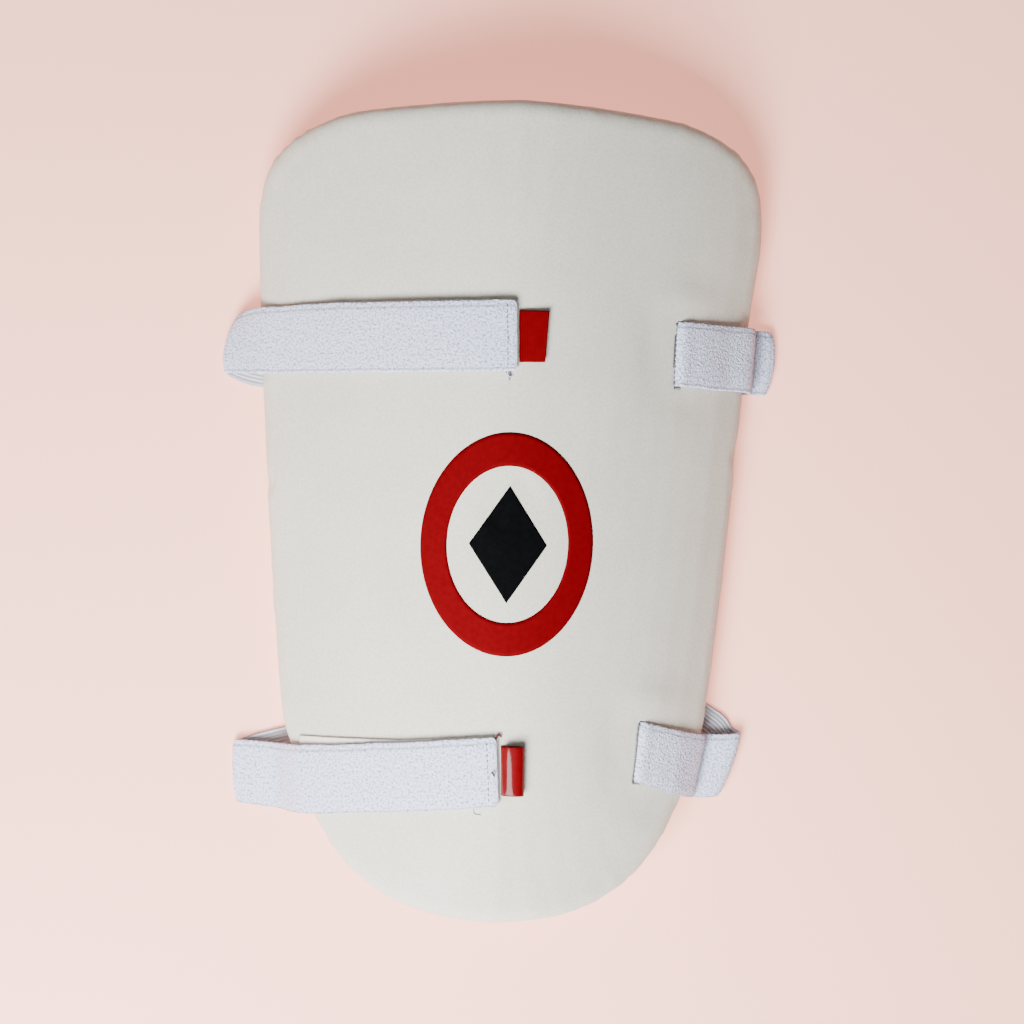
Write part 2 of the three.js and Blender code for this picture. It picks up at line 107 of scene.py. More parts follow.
back = Vector((-math.sin(CAMERA_FROM_LEFT), 0, math.cos(CAMERA_FROM_LEFT)))
level_right = Vector((math.cos(CAMERA_FROM_LEFT), 0, math.sin(CAMERA_FROM_LEFT)))
level_up = Vector((0, 1, 0))
right = level_right * math.cos(CAMERA_ROLL) + level_up * math.sin(CAMERA_ROLL)
up = level_up * math.cos(CAMERA_ROLL) - level_right * math.sin(CAMERA_ROLL)

camera = bpy.data.objects.new("camera", bpy.data.cameras.new("camera"))
bpy.context.scene.collection.objects.link(camera)
camera.data.lens = LENS
camera.data.sensor_width = SENSOR_WIDTH
camera.data.clip_start = NEAREST
camera.data.clip_end = FARTHEST
turned = Matrix((right, up, back)).transposed().to_4x4()
camera.matrix_world = Matrix.Translation(CAMERA_TARGET + back * CAMERA_DISTANCE * MM) @ turned
bpy.context.scene.camera = camera
print("camera height", round(camera.matrix_world.translation.z, 3), "m")

# %% [markdown]
# ## Floor and light
# A plain pale floor and three soft lamps stand for the studio. The main one is half a metre
# wide and shines from beside the narrow end, a little from the left, so the right flank falls
# slowly into shade and the shadow lies past the wide end. The two others only lift the shade.
# Wide lamps blur the shadow's edge, and the floor glows a little, as a brightly lit one does.

# %% Helpers for colour and nodes
def linear(hex_colour):
    """An sRGB hex colour as the linear red, green, blue and alpha that Blender works in."""
    parts = [int(hex_colour[k : k + 2], 16) / 255 for k in (1, 3, 5)]
    return tuple(p / 12.92 if p <= 0.04045 else ((p + 0.055) / 1.055) ** 2.4 for p in parts) + (1,)


def add_node(material, kind, links=None, **settings):
    """Adds a node: settings name its properties or sockets, links say what feeds a socket."""
    made = material.node_tree.nodes.new(kind)
    for name, value in settings.items():
        if hasattr(made, name):
            setattr(made, name, value)
        else:
            made.inputs[name.replace("_", " ")].default_value = value
    for name, source in (links or {}).items():
        socket = made.inputs[name] if isinstance(name, int) else made.inputs[name.replace("_", " ")]
        material.node_tree.links.new(source, socket)
    return made


def new_material(name):
    """An empty node material and its principled shader, already joined to the output."""
    material = bpy.data.materials.new(name)
    material.use_nodes = True
    return material, material.node_tree.nodes["Principled BSDF"]


def feed(material, shader, **sources):
    """Joins sockets of the principled shader to the nodes that drive them."""
    for name, source in sources.items():
        material.node_tree.links.new(source, shader.inputs[name.replace("_", " ")])


# %% Floor and lamps
FLOOR_HEX, FLOOR_GLOW_HEX, FLOOR_GLOW = "#FDC2B1", "#FFA993", 1.2
FLOOR_HALF_SIZE = 3
FLOOR_GAP = 0.2
AIR_HEX, AIR_STRENGTH = "#F4F2F0", 0.12
floor_paint, shader = new_material("matt_painted_board")
shader.inputs["Base Color"].default_value = linear(FLOOR_HEX)
shader.inputs["Roughness"].default_value = 0.9
shader.inputs["Emission Color"].default_value = linear(FLOOR_GLOW_HEX)
shader.inputs["Emission Strength"].default_value = FLOOR_GLOW
bm = bmesh.new()
bmesh.ops.create_grid(bm, x_segments=1, y_segments=1, size=FLOOR_HALF_SIZE)
bmesh.ops.translate(bm, verts=bm.verts, vec=(0, 0, -FLOOR_GAP * MM))
floor_mesh = bpy.data.meshes.new("floor")
bm.to_mesh(floor_mesh)
bm.free()
floor = bpy.data.objects.new("floor", floor_mesh)
floor.data.materials.append(floor_paint)
bpy.context.scene.collection.objects.link(floor)

LAMPS = [
    {"name": "main_softbox", "at": (-0.27, -0.52, 0.68), "size": 0.5, "watts": 30.0},
    {"name": "fill_softbox", "at": (-0.8, 0.5, 1.3), "size": 1.2, "watts": 0.6},
    {"name": "overhead_softbox", "at": (-0.3, 0.1, 1.9), "size": 0.7, "watts": 2.4},
]
for lamp in LAMPS:
    light = bpy.data.lights.new(lamp["name"], "AREA")
    light.shape = "SQUARE"
    light.size = lamp["size"]
    light.energy = lamp["watts"]
    holder = bpy.data.objects.new(lamp["name"], light)
    holder.location = lamp["at"]
    holder.rotation_euler = (-Vector(lamp["at"])).to_track_quat("-Z", "Y").to_euler()
    bpy.context.scene.collection.objects.link(holder)

world = bpy.data.worlds.new("studio_air")
world.use_nodes = True
world.node_tree.nodes["Background"].inputs["Color"].default_value = linear(AIR_HEX)
world.node_tree.nodes["Background"].inputs["Strength"].default_value = AIR_STRENGTH
bpy.context.scene.world = world
print(len(LAMPS), "lamps placed")

# %% [markdown]
# ## The pad's curve
# The foam is pressed into an arch that fits a thigh: wider and deeper at the hip end, with a
# soft ridge down the crown. The same few sizes that shape the solid give the height of its
# face at any place, so that straps and prints can be laid on it.

# %% The arch as a function
PAD_THICKNESS = 15
EDGE_HEIGHT = 6.5
ARCH_DEPTH = 54
ARCH_HALF_ANGLE = math.radians(60)
LENGTHWISE_BOW = 4
RIDGE_SHARE = 0.35
RIDGE_HALF_WIDTH = 18
WIDE_HALF_WIDTH, WIDE_AT_Y = 117.9, 136.6
NARROW_HALF_WIDTH, NARROW_AT_Y = 98.5, -102.6
PAD_HALF_LENGTH = 190.4
SETTLE_ROUNDS, SETTLE_SHARE = 12, 0.8
FLARE = (WIDE_HALF_WIDTH - NARROW_HALF_WIDTH) / (WIDE_AT_Y - NARROW_AT_Y)


def arch_fall(share):
    """How far the arch has fallen from the crown to a share of the half width, from 0 to 1."""
    ridge = RIDGE_HALF_WIDTH / WIDE_HALF_WIDTH
    soft = (math.hypot(share, ridge) - ridge) / (math.hypot(1, ridge) - ridge)
    sine = min(share * math.sin(ARCH_HALF_ANGLE), 1)
    rounded = (1 - math.sqrt(1 - sine * sine)) / (1 - math.cos(ARCH_HALF_ANGLE))
    return RIDGE_SHARE * soft + (1 - RIDGE_SHARE) * rounded


def middle_height(x, y):
    """The height of the foam's middle surface."""
    half_width = NARROW_HALF_WIDTH + FLARE * (y - NARROW_AT_Y)
    bow = LENGTHWISE_BOW * (1 - (y / PAD_HALF_LENGTH) ** 2)
    rise = ARCH_DEPTH * half_width / WIDE_HALF_WIDTH + bow
    return EDGE_HEIGHT + rise * (1 - arch_fall(abs(x) / half_width))


def off_middle(x, y, height):
    """A point at a height square to the middle surface above (x, y)."""
    slope_x = middle_height(x + 0.5, y) - middle_height(x - 0.5, y)
    slope_y = middle_height(x, y + 0.5) - middle_height(x, y - 0.5)
    normal = Vector((-slope_x, -slope_y, 1)).normalized()
    return Vector((x, y, middle_height(x, y))) + normal * height


def on_pad(x, y, lift):
    """The point straight above (x, y) that is lifted off the front face."""
    foot_x, foot_y = x, y
    point = off_middle(x, y, PAD_THICKNESS / 2 + lift)
    for _ in range(SETTLE_ROUNDS):
        foot_x += (x - point.x) * SETTLE_SHARE
        foot_y += (y - point.y) * SETTLE_SHARE
        point = off_middle(foot_x, foot_y, PAD_THICKNESS / 2 + lift)
    return point


print("crown height", round(on_pad(0, 0, 0).z, 1), "mm")

# %% [markdown]
# ## Bands
# Webbing, tape and tabs are all one thing to a modeller: a long thin slab that follows a
# route. A grid is extruded into a slab while it is still flat and square, its along and across
# places are kept as a UV map in metres, and only then is every vertex carried to the route.
# A table gives the route, a row for each place where the band changes direction, with the
# plan place of its upper and lower edge and either its lift off the pad or its own height.

# %% Smooth lines through rows
def smooth_line(points, amounts):
    """Points on a centripetal Catmull-Rom line through the given points, by share of its rows."""
    points = [points[0] * 2 - points[1], *points, points[-1] * 2 - points[-2]]
    spans = len(points) - 3
    made = []
    for amount in amounts:
        place = min(max(amount, 0), 1) * spans
        k = min(int(place), spans - 1)
        t = place - k
        a, b, c, d = points[k : k + 4]
        first, mid, last = (max((q - p).length ** 0.5, 1e-4) for p, q in ((a, b), (b, c), (c, d)))
        leave = ((b - a) / first - (c - a) / (first + mid) + (c - b) / mid) * mid
        arrive = ((c - b) / mid - (d - b) / (mid + last) + (d - c) / last) * mid
        bend = -3 * b + 3 * c - 2 * leave - arrive
        made.append(b + leave * t + bend * t * t + (2 * b - 2 * c + leave + arrive) * t**3)
    return made


ROUTE_CELL = 9


def refined(rows):
    """Rows added between two that both lie on the pad, so that the band keeps to its curve."""
    dense = [rows[0]]
    for before, after in zip(rows, rows[1:]):
        on_face = "z" not in before and "z" not in after
        cells = math.ceil(abs(after["top_x"] - before["top_x"]) / ROUTE_CELL) if on_face else 1
        for cell in range(1, cells):
            share = cell / cells
            keys = ("top_x", "top_y", "low_x", "low_y", "lift")
            dense.append({key: before[key] * (1 - share) + after[key] * share for key in keys})
        dense.append(after)
    return dense


def route_point(row, share):
    """The point of a row at a share of the way from its upper edge to its lower edge."""
    bulge = 4 * share * (1 - share) * row.get("bulge", 0)
    x = row["top_x"] * (1 - share) + row["low_x"] * share + bulge
    y = row["top_y"] * (1 - share) + row["low_y"] * share
    return Vector((x, y, row["z"])) if "z" in row else on_pad(x, y, row["lift"])


# %% A band from its rows
EVEN_SHARE = 0.55
WANDER_LENGTH, FRAY_LENGTH, TUFT_LENGTH = 16, 1.7, 1.1
FRAY_SHARE = 0.7


def smooth_mesh(name, bm):
    """The finished mesh of a bmesh, shaded smooth."""
    mesh = bpy.data.meshes.new(name)
    bm.to_mesh(mesh)
    bm.free()
    mesh.shade_smooth()
    return mesh


def band_mesh(name, rows, thickness, grid, crown=0.0, ripple=0.0, nap=0.0, corner=0.1, seed=0):
    """A closed band along the rows: crown thins its edges, ripple moves them, nap roughens it
    and corner rounds the first end. The grid says its cells along and across."""
    steps, cells = grid
    rows = refined(rows)
    bm = bmesh.new()
    bmesh.ops.create_grid(bm, x_segments=steps, y_segments=cells, size=0.5)
    sheet = bmesh.ops.extrude_face_region(bm, geom=bm.faces[:])
    lifted = [item for item in sheet["geom"] if isinstance(item, bmesh.types.BMVert)]
    bmesh.ops.translate(bm, verts=lifted, vec=(0, 0, 1))
    amounts = [k / steps for k in range(steps + 1)]
    even = [k / cells for k in range(cells + 1)]
    round_share = (1 - EVEN_SHARE) / 2
    shares = [EVEN_SHARE * part + round_share * (1 - math.cos(math.pi * part)) for part in even]
    lines = [smooth_line([route_point(row, share) for row in rows], amounts) for share in shares]
    middle = lines[cells // 2]
    steps_long = [(q - p).length for p, q in zip(middle, middle[1:])]
    along_mm = [sum(steps_long[:k]) for k in range(steps + 1)]
    wide_mm = (lines[-1][steps // 2] - lines[0][steps // 2]).length
    uv = bm.loops.layers.uv.new("webbing")
    inner = bm.faces.layers.int.new("inner")
    for face in bm.faces:
        face[inner] = int(face.calc_center_median().z < 0.25)
        for loop in face.loops:
            k = round((loop.vert.co.x + 0.5) * steps)
            j = round((0.5 - loop.vert.co.y) * cells)
            loop[uv].uv = (along_mm[k] * MM, shares[j] * wide_mm * MM)
    for vert in bm.verts:
        k = round((vert.co.x + 0.5) * steps)
        j = round((0.5 - vert.co.y) * cells)
        side = 0.5 if vert.co.z > 0.5 else -0.5
        ahead = lines[j][min(k + 1, steps)] - lines[j][max(k - 1, 0)]
        across = (lines[-1][k] - lines[0][k]).normalized()
        outward = ahead.cross(across).normalized()
        edge = abs(2 * shares[j] - 1)
        short_of = max(corner - along_mm[k], 0)
        inset = corner - math.sqrt(corner**2 - short_of**2)
        depth = thickness * (1 - crown * edge**6) * (1 - crown * (short_of / corner) ** 3)
        half = 1 if j > cells / 2 else -1
        wander = noise.noise(Vector((along_mm[k] / WANDER_LENGTH, seed, half)))
        wander += FRAY_SHARE * noise.noise(Vector((along_mm[k] / FRAY_LENGTH, seed, half)))
        tuft_at = (along_mm[k] / TUFT_LENGTH, shares[j] * wide_mm / TUFT_LENGTH, seed + side)
        tuft = noise.noise(Vector(tuft_at))
        point = lines[j][k] + outward * (depth * side + tuft * nap * 2 * side)
        point += across * (wander * ripple * half * edge**4 - inset * (2 * shares[j] - 1))
        point.z = max(point.z, 0)
        vert.co = in_frame(*point)
    bm.normal_update()
    bmesh.ops.recalc_face_normals(bm, faces=bm.faces)
    mesh = smooth_mesh(name, bm)
    print(name, "is", round(along_mm[-1]), "mm long and", round(wide_mm, 1), "mm wide")
    return mesh


def show(name, mesh, material, slot, *nodes):
    """Puts a finished mesh in the scene, riding on the pad and standing for its solids."""
    piece = bpy.data.objects.new(name, mesh)
    bpy.context.scene.collection.objects.link(piece)
    piece.data.materials.clear()
    piece.data.materials.append(material)
    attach(piece, "root")
    if nodes:
        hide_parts(*nodes)
    return piece


# %% [markdown]
# ## Materials
# Every pattern below is scaled from a real size in millimetres. Patterns on the pad read its
# object coordinates, which are metres, and patterns on webbing read the band's own UV map,
# so that the weave runs along the strap and turns with it at the folds.

# %% Pattern sizes and helpers for patterns
def scale_of(size_mm):
    """The scale of a noise or cell pattern whose features are this size."""
    return 1 / (size_mm * MM)


def ribs_every(period_mm):
    """The scale of a wave pattern with one rib in this length."""
    return 2 * math.pi / 20 / (period_mm * MM)


def webbing_place(material):
    """The place along and across a band, in metres."""
    return add_node(material, "ShaderNodeUVMap", uv_map="webbing").outputs["UV"]


def object_place(material):
    """The place in the piece's own coordinates, in metres."""
    return add_node(material, "ShaderNodeTexCoord").outputs["Object"]


def noise_of(material, place, size_mm, detail, **settings):
    """The value of a noise pattern whose blotches are this size."""
    settings |= {"Scale": scale_of(size_mm), "Detail": detail}
    return add_node(material, "ShaderNodeTexNoise", {"Vector": place}, **settings).outputs["Fac"]


def ribs_of(material, place, period_mm, direction, distortion=0):
    """The value of a rib pattern that repeats in this length."""
    settings = {"bands_direction": direction, "Scale": ribs_every(period_mm), "Distortion": distortion}
    return add_node(material, "ShaderNodeTexWave", {"Vector": place}, **settings).outputs["Fac"]


def tones(material, value, first, last, low=0.0, high=1.0):
    """The colour that runs from first to last while a pattern's value runs from low to high."""
    ramp = add_node(material, "ShaderNodeValToRGB", {"Fac": value})
    start, end = ramp.color_ramp.elements
    start.position, end.position = low, high
    start.color, end.color = linear(first), linear(last)
    return ramp.outputs["Color"]


def mixed(material, factor, first, second, blend_type="MIX"):
    """Two colours mixed by a fixed share or by a pattern's value."""
    settings = {"data_type": "RGBA", "blend_type": blend_type}
    mix = add_node(material, "ShaderNodeMix", {6: first, 7: second}, **settings)
    if isinstance(factor, float):
        mix.inputs[0].default_value = factor
    else:
        material.node_tree.links.new(factor, mix.inputs[0])
    return mix.outputs[2]


def finish(material, shader, colour, height, strength, depth_mm, invert=False, **values):
    """Gives the shader its colour, a bump of this depth and its constant values."""
    settings = {"Strength": strength, "Distance": depth_mm * MM, "invert": invert}
    bump = add_node(material, "ShaderNodeBump", {"Height": height}, **settings)
    feed(material, shader, Normal=bump.outputs["Normal"])
    if isinstance(colour, str):
        shader.inputs["Base Color"].default_value = linear(colour)
    else:
        feed(material, shader, Base_Color=colour)
    for name, value in values.items():
        shader.inputs[name.replace("_", " ")].default_value = value
    return material


# %% Brushed facing of the pad
def brushed_facing():
    """Brushed nylon bonded to foam: a matt cream nap with faint clouding from handling."""
    material, shader = new_material("brushed_nylon_facing")
    place = object_place(material)
    cloud = noise_of(material, place, 40, 2, Roughness=0.5)
    fleck = noise_of(material, place, 1.1, 3)
    tone = tones(material, cloud, "#D3D2C6", "#D8D7CC", 0.35, 0.68)
    grain = tones(material, fleck, "#F0F0EE", "#FFFFFF", 0.36, 0.62)
    colour = mixed(material, 1.0, tone, grain, "MULTIPLY")
    nap = noise_of(material, place, 0.7, 3)
    values = {"Roughness": 0.78, "Specular_IOR_Level": 0.35}
    values |= {"Sheen_Weight": 0.12, "Sheen_Roughness": 0.5}
    return finish(material, shader, colour, nap, 0.22, 0.3, **values)


# %% Elastic webbing
STRAP_WIDTH = 32


def selvedge_shade(material, place):
    """Painted shade in the grooves beside both edges of the strap, where the woven selvedge begins."""
    across = add_node(material, "ShaderNodeSeparateXYZ", {"Vector": place})
    share = add_node(material, "ShaderNodeMath", {0: across.outputs["Y"]}, operation="DIVIDE")
    share.inputs[1].default_value = STRAP_WIDTH * MM
    ramp = add_node(material, "ShaderNodeValToRGB", {"Fac": share.outputs[0]})
    stops = ramp.color_ramp.elements
    stops[0].position, stops[1].position = 0.05, 0.95
    for position, level in ((0.075, 0.45), (0.1, 1.0), (0.9, 1.0), (0.925, 0.45)):
        stops.new(position).color = (level, level, level, 1)
    stops[0].color = stops[-1].color = (1, 1, 1, 1)
    return ramp.outputs["Color"]


def combined(material, operation, first, second):
    """Two values multiplied or added."""
    return add_node(material, "ShaderNodeMath", {0: first, 1: second}, operation=operation).outputs[0]


def elastic_webbing():
    """Woven brushed elastic: looped white face with blue-grey flecks, ribbed on its inner side."""
    material, shader = new_material("woven_brushed_elastic")
    place = webbing_place(material)
    inner = add_node(material, "ShaderNodeAttribute", attribute_name="inner").outputs["Fac"]
    loops = noise_of(material, place, 1.15, 4, Roughness=0.72)
    curls = add_node(material, "ShaderNodeTexVoronoi", {"Vector": place}, Scale=scale_of(0.95))
    drift = noise_of(material, place, 9, 1)
    ribs = ribs_of(material, place, 1.7, "Y", 0.5)
    tone = tones(material, loops, "#8891AE", "#D9DFF7", 0.38, 0.52)
    rib_tone = tones(material, ribs, "#A9ABB6", "#D6D8E2")
    colour = mixed(material, inner, tone, rib_tone)
    selvedge = selvedge_shade(material, place)
    # The selvedge mask darkens the colour here as painted shade in the grooves; below, it also lowers
    # the bump there.
    soft = mixed(material, 0.75, colour, selvedge, "MULTIPLY")
    faces = {0: inner, 2: curls.outputs["Distance"], 3: ribs}
    weave = add_node(material, "ShaderNodeMix", faces, data_type="FLOAT").outputs[0]
    height = combined(material, "ADD", combined(material, "MULTIPLY", weave, selvedge), drift)
    values = {"Roughness": 0.95, "Sheen_Weight": 0.2, "Specular_IOR_Level": 0.2}
    return finish(material, shader, soft, height, 0.6, 0.6, **values)


# %% Hook tape, coated tape and printed film
def hook_tape():
    """Moulded hook tape: a smooth cream base with rows of tiny hooks 1.4 mm apart."""
    material, shader = new_material("cream_hook_tape")
    settings = {"Scale": scale_of(1.4), "Randomness": 0.3}
    links = {"Vector": webbing_place(material)}
    hooks = add_node(material, "ShaderNodeTexVoronoi", links, **settings).outputs["Distance"]
    colour = tones(material, hooks, "#F1EFE8", "#D9D6CC")
    return finish(material, shader, colour, hooks, 0.4, 0.4, invert=True, Roughness=0.55)


def woven_tape(name, dark, light, roughness, weave, coat):
    """Red grosgrain tape: fine ribs across its length, flat when plain and shiny when coated."""
    material, shader = new_material(name)
    place = webbing_place(material)
    ribs = ribs_of(material, place, 0.8, "X", 0.4)
    colour = tones(material, noise_of(material, place, 4, 2), dark, light, 0.3, 0.7)
    values = {"Roughness": roughness, "Specular_IOR_Level": 0.03}
    values |= {"Coat_Weight": coat, "Coat_Roughness": 0.08}
    return finish(material, shader, colour, ribs, weave, 0.3, **values)


def printed_film(name, dark, light, roughness):
    """Screen-printed ink on the facing: satin colour that still shows the cloth's fine grain."""
    material, shader = new_material(name)
    place = object_place(material)
    colour = tones(material, noise_of(material, place, 2.4, 3), dark, light, 0.32, 0.7)
    grain = noise_of(material, place, 0.7, 2)
    values = {"Roughness": roughness, "Specular_IOR_Level": 0.04}
    return finish(material, shader, colour, grain, 0.25, 0.2, **values)


def sewing_thread(name, colour):
    """Twisted polyester thread: a fine slanting lay on a soft, slightly shiny strand."""
    material, shader = new_material(name)
    lay = ribs_of(material, object_place(material), 0.4, "DIAGONAL")
    return finish(material, shader, colour, lay, 0.4, 0.1, Roughness=0.6)


facing = brushed_facing()
elastic = elastic_webbing()
cream_tape = hook_tape()
red_cloth = woven_tape("red_grosgrain_tape", "#640006", "#6C0008", 0.8, 0.3, 0.0)
red_gloss = woven_tape("red_coated_tape", "#600006", "#6A0008", 0.5, 0.05, 0.3)
red_ink = printed_film("red_screen_print", "#5E0006", "#660008", 0.8)
black_ink = printed_film("black_screen_print", "#020304", "#050608", 0.8)
white_thread = sewing_thread("white_polyester_thread", "#D9DCE6")
# Dark grey thread: real thread on the hems, and along the slit mouths partly painted shade of the gap.
grey_thread_and_shade = sewing_thread("grey_polyester_thread", "#565864")
dark_thread = sewing_thread("dark_polyester_thread", "#20222C")
red_thread = sewing_thread("red_polyester_thread", "#4E0A08")
print("materials:", [material.name for material in bpy.data.materials])

# %% [markdown]
# ## Strap routes
# Both straps are read from the photograph: where the loose end lies, where the strap leaves
# the flank, how the fold turns and where it goes into its slit. Between the two folds it lies
# flat on the floor under the pad, out of sight, so it takes the plain way across.

# %% Route tables
STRAP_THICKNESS = 2.1
GAP = 0.3
TAPE_THICKNESS = 1.2
ON_PAD = GAP + STRAP_THICKNESS / 2
OVER_TAPE = TAPE_THICKNESS + GAP + ON_PAD
TAPE_LIFT = GAP + TAPE_THICKNESS / 2
FLOOR_LAYER = STRAP_THICKNESS / 2
UNDER_CELLS = 6


def row(top_x, top_y, low_x, low_y, lift=None, z=None, bulge=0):
    """One row of a route table."""
    made = {"top_x": top_x, "top_y": top_y, "low_x": low_x, "low_y": low_y, "bulge": bulge}
    made["z" if lift is None else "lift"] = z if lift is None else lift
    return made


UPPER_LEFT = [
    row(0.2, 96.8, 1.4, 64.4, lift=OVER_TAPE),
    row(-24, 96, -23.4, 63.6, lift=OVER_TAPE),
    row(-50, 95.2, -50, 62.8, lift=OVER_TAPE),
    row(-78, 94.7, -78, 62.3, lift=OVER_TAPE),
    row(-96, 94.3, -96, 62.2, lift=ON_PAD + 0.4),
    row(-109, 93.9, -109, 62.2, lift=ON_PAD + 0.2),
    row(-118.3, 93.4, -118.5, 62.3, z=17.6),
    row(-125.4, 92, -127.6, 62.4, z=9.6, bulge=-0.8),
    row(-128.6, 90.4, -133, 62.5, z=5.2, bulge=-2.2),
    row(-128.6, 89.6, -134, 62, z=3, bulge=-2.8),
    row(-126.4, 89.2, -131, 60.4, z=1.3, bulge=-2),
]
UPPER_RIGHT = [
    row(127.8, 91.8, 126, 61, z=1.2, bulge=1.6),
    row(130.6, 91.6, 128.2, 61, z=2.7, bulge=2.4),
    row(128.6, 91.9, 126.6, 60.7, z=4.3, bulge=1.8),
    row(125.2, 92.2, 123.8, 60.7, z=4.6),
    row(121.6, 92.3, 120.4, 60.9, z=6),
    row(120.6, 92.3, 119, 61, z=11.6),
    row(118.6, 92.3, 117.2, 61.1, z=17.8),
    row(106, 92.3, 106, 61.2, lift=ON_PAD + 0.2),
    row(93, 92.2, 93, 61.4, lift=ON_PAD + 0.3),
    row(81.5, 91.9, 81.3, 61.7, lift=0.9),
    row(75, 91.8, 75, 61.8, lift=-3.4),
    row(68, 91.8, 68, 61.8, lift=-6.4),
]
LOWER_LEFT = [
    row(-2.5, -103.5, -0.3, -135.6, lift=OVER_TAPE),
    row(-24, -105.8, -22, -138, lift=OVER_TAPE),
    row(-46.3, -108.2, -43.5, -140.4, lift=OVER_TAPE),
    row(-68, -110.6, -65, -142.6, lift=OVER_TAPE),
    row(-84, -112.5, -81.5, -144.7, lift=OVER_TAPE),
    row(-94, -113.5, -91, -145.6, lift=OVER_TAPE + 0.3),
    row(-100.6, -114, -97.4, -145.8, z=15.4),
    row(-105, -114.1, -102, -145.7, z=8.4),
    row(-112.6, -113.8, -109.6, -145, z=5.6),
    row(-122, -113.6, -119.8, -143.9, z=4.7, bulge=-0.6),
    row(-124.2, -113.7, -122, -143.4, z=2.9, bulge=-1),
    row(-121.6, -113.3, -119.6, -142.8, z=1.3, bulge=-0.6),
]
LOWER_RIGHT = [
    row(118.6, -102.6, 104.8, -131.6, z=1.2),
    row(121.2, -103.6, 111.2, -134.4, z=3.6, bulge=1.2),
    row(119.4, -104.4, 109.4, -135.4, z=6.8, bulge=1),
    row(112.6, -104.9, 104.4, -135.8, z=7.8),
    row(103.9, -105, 98.2, -135.8, z=8.2),
    row(101.4, -104.6, 95.6, -135.2, z=15.6),
    row(89, -102.1, 85, -132, lift=ON_PAD + 0.6),
    row(79.6, -99.8, 76.6, -128.8, lift=ON_PAD + 0.3),
    row(69.6, -97.4, 67.4, -126, lift=0.9),
    row(63.6, -96.4, 61.4, -125, lift=-3.4),
    row(57, -95.4, 55, -124, lift=-6.4),
]


def under_rows(left, right):
    """The hidden stretch, flat on the floor, from (x, y, heading, width) on the left to the same
    on the right."""
    reach = (right[0] - left[0]) / 3
    a = Vector(left[:2])
    d = Vector(right[:2])
    headings = (math.radians(end[2]) for end in (left, right))
    leave, arrive = (Vector((math.cos(turn), math.sin(turn))) * reach for turn in headings)
    b = a + leave
    c = d - arrive
    rows = []
    for k in range(UNDER_CELLS + 1):
        t = k / UNDER_CELLS
        centre = a * (1 - t) ** 3 + b * 3 * t * (1 - t) ** 2 + c * 3 * t * t * (1 - t) + d * t**3
        along = (b - a) * (1 - t) ** 2 + (c - b) * 2 * t * (1 - t) + (d - c) * t * t
        half = Vector((-along.y, along.x)).normalized() * (left[3] * (1 - t) + right[3] * t) / 2
        top, low = centre + half, centre - half
        rows.append(row(top.x, top.y, low.x, low.y, z=FLOOR_LAYER))
    return rows


upper_route = [
    *UPPER_LEFT,
    *under_rows((-119, 72.6, -10.8, 31), (118, 76.4, 1, 31)),
    *UPPER_RIGHT,
]
lower_route = [
    *LOWER_LEFT,
    *under_rows((-110, -125.2, 14, 30.5), (103, -107.6, -38, 31)),
    *LOWER_RIGHT,
]
print("rows:", len(upper_route), "upper,", len(lower_route), "lower")

# %% [markdown]
# ## The foam pad
# A foam pad swells a little between its edges because the foam pushes against the facing.
# The solid is copied, its strap slits are plugged, and a voxel remesh gives it even faces.
# It is first drawn in by less than a millimetre. Then a short cloth simulation with inside
# pressure puffs the facing, by 0.8 mm at most, because this foam is stiff.

# %% Remesh the pad
SLIT_OVERRUN, SLIT_END_SPARE = 0.1, 0.6
PLUG_THICKNESS, PLUG_SINK, PLUG_GRID = 4.2, 1.6, (10, 4)
VOXEL = 4.2 * MM
WELD = 0.01 * MM
SMOOTHING_ROUNDS, SMOOTHING_SHARE = 5, 0.5
NEAR_SOLID, SLACK, CAP = 1.5 * MM, 0.7 * MM, 0.8 * MM


def applied(piece):
    """The piece's mesh with its modifiers worked in, as a mesh of its own."""
    graph = bpy.context.evaluated_depsgraph_get()
    mesh = bpy.data.meshes.new_from_object(piece.evaluated_get(graph))
    piece.modifiers.clear()
    return mesh


def slit_rows(rows, sink):
    """The last rows of a route, lowered by sink, as the shape of its slit."""
    last = [dict(one) for one in rows[-3:]]
    mouth, inside, root = last
    start = dict(mouth)
    for key in ("top_x", "top_y", "low_x", "low_y", "lift"):
        start[key] = 2 * mouth[key] - inside[key]
        root[key] += (root[key] - inside[key]) * SLIT_OVERRUN
    made = [start, mouth, inside, root]
    for one in made:
        one["lift"] -= sink
        one["top_y"] += SLIT_END_SPARE
        one["low_y"] -= SLIT_END_SPARE
    return made


def tree_of(mesh):
    """A search tree of a mesh's faces."""
    return BVHTree.FromPolygons([v.co for v in mesh.vertices], [p.vertices[:] for p in mesh.polygons])


bm = bmesh.new()
bm.from_mesh(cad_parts["pad_shell"].data)
for rows in (UPPER_RIGHT, LOWER_RIGHT):
    bm.from_mesh(band_mesh("slit_plug", slit_rows(rows, PLUG_SINK)[1:], PLUG_THICKNESS, PLUG_GRID))
bmesh.ops.remove_doubles(bm, verts=bm.verts, dist=WELD)
pad_mesh = bpy.data.meshes.new("foam_pad")
bm.to_mesh(pad_mesh)
bm.free()
pad = bpy.data.objects.new("foam_pad", pad_mesh)
bpy.context.scene.collection.objects.link(pad)
remesh = pad.modifiers.new("remesh", "REMESH")
remesh.mode = "VOXEL"
remesh.voxel_size = VOXEL
pad.data = applied(pad)
bm = bmesh.new()
bm.from_mesh(pad.data)
solid_tree = tree_of(pad_mesh)
axes = {"use_axis_x": True, "use_axis_y": True, "use_axis_z": True}
for _ in range(SMOOTHING_ROUNDS):
    bmesh.ops.smooth_vert(bm, verts=bm.verts, factor=SMOOTHING_SHARE, **axes)
    for vert in bm.verts:
        near, normal, _, away = solid_tree.find_nearest(vert.co)
        if away < NEAR_SOLID:
            vert.co = near - normal * SLACK * abs(normal.z)
bm.to_mesh(pad.data)
bm.free()
print("the remeshed pad has", len(pad.data.polygons), "faces")

